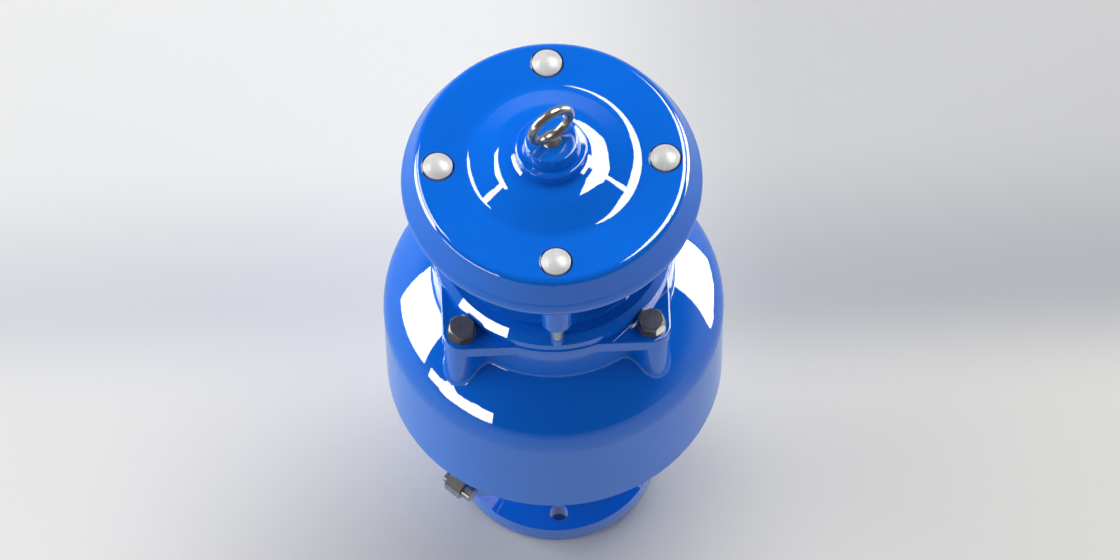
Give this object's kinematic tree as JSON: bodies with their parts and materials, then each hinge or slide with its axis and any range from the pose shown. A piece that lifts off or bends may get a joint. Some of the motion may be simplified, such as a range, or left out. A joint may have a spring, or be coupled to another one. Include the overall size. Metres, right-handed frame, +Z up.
{
  "type": "air release valve",
  "caption": "Flanged air release valve with a wide float chamber, a bolted square bonnet, a domed hood raised on posts, a lifting eye and a small drain cock.",
  "frame": {"origin": "centre of the inlet's raised face, on the valve axis", "axes": "+Z up along the valve axis, from the inlet flange to the lifting eye; -Y is the side the picture looks at; the hood's posts stand on +X, -X, +Y and -Y"},
  "size_m": [0.3373, 0.3374, 0.7012],
  "materials": {
    "blue_coating": "glossy epoxy coating over ductile iron",
    "stainless": "stainless steel, turned and brushed",
    "dark_steel": "dark, smooth, slightly warm steel",
    "rubber": "black rubber, matt",
    "white_plastic": "white moulded plastic, satin to glossy",
    "brass": "turned brass"
  },
  "bodies": {
    "valve": {"body": "blue_coating", "bonnet": "blue_coating", "bonnet_oring": "rubber", "bonnet_washers": "dark_steel", "bonnet_bolts": "dark_steel", "hood": "blue_coating", "hood_sleeves": "stainless", "hood_studs": "stainless", "hood_washers": "stainless", "hood_nuts": "stainless", "hood_caps": "white_plastic", "eyebolt": "dark_steel", "insect_screen": "stainless", "seat_ring": "brass", "seat_seal": "rubber", "guide_cage": "stainless", "cage_screws": "stainless", "lower_guide": "stainless", "drain_body": "dark_steel", "drain_washer": "rubber"},
    "float": {"float_shell": "stainless", "float_stem": "stainless", "nozzle_pad": "rubber", "float_nuts": "stainless"},
    "disc": {"closing_disc": "stainless", "nozzle": "brass"},
    "drain_plug": {"drain_spindle": "dark_steel", "drain_oring": "rubber"}
  },
  "joints": [
    {"name": "float_rise", "type": "slide", "parent": "valve", "child": "float", "axis": [0, 0, 1], "range_m": [0, 0.0489]},
    {"name": "disc_rise", "type": "slide", "parent": "valve", "child": "disc", "axis": [0, 0, 1], "range_m": [0, 0.0439]},
    {"name": "drain_turn", "type": "hinge", "parent": "valve", "child": "drain_plug", "pos_m": [-0.10261, -0.08804, 0.108], "axis": [0.7314, -0.682, 0], "range_deg": [0, 90]}
  ],
  "couplings": [
    {"joint": "disc_rise", "follows": "float_rise", "ratio": 0.8977}
  ]
}
